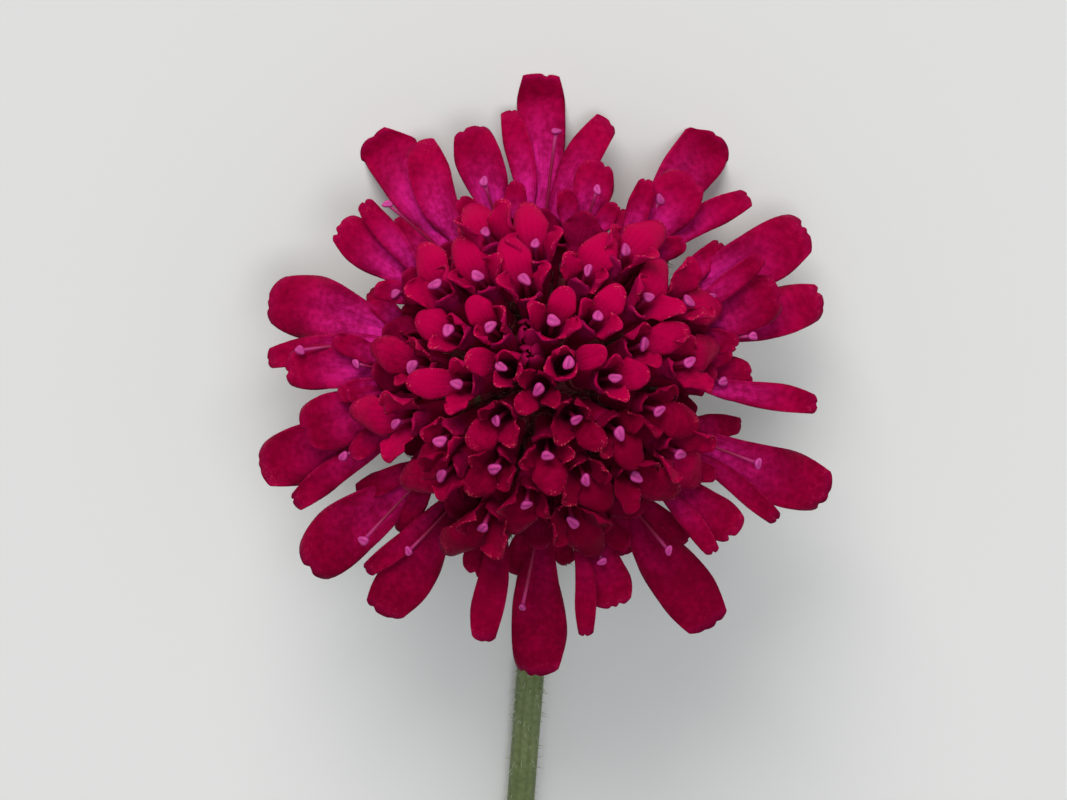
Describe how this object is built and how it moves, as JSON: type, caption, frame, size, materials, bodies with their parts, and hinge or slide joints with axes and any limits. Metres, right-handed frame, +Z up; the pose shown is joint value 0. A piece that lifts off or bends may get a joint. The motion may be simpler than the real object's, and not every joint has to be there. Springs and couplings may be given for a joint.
{
  "type": "red-flowered macedonian scabious, cut flower",
  "caption": "Cut scabious bloom with a domed crimson head of small four-lobed florets and a rim of long ray lobes, on a bare curved stalk, laid down on a flat surface.",
  "frame": {"origin": "under the middle of the whole flower's box, on the surface it lies on", "axes": "+Z up from the surface, +Y along the stalk from its cut end to the head, +X across; the head looks up and leans 30 degrees towards +Y"},
  "size_m": [0.0382, 0.1141, 0.0229],
  "materials": {
    "stem_green": "matte olive green plant stalk, finely ribbed, with short pale bristles",
    "bract_green": "matte grey-green bracts with a pale fringe of hairs",
    "petal_crimson": "velvety deep crimson petals with a magenta sheen towards the base and a paler mauve back",
    "stigma_pink": "soft lilac-pink stigmas on pink styles"
  },
  "bodies": {
    "root": {"stem": "stem_green", "involucre": "bract_green", "flower_head": "petal_crimson"}
  },
  "joints": []
}
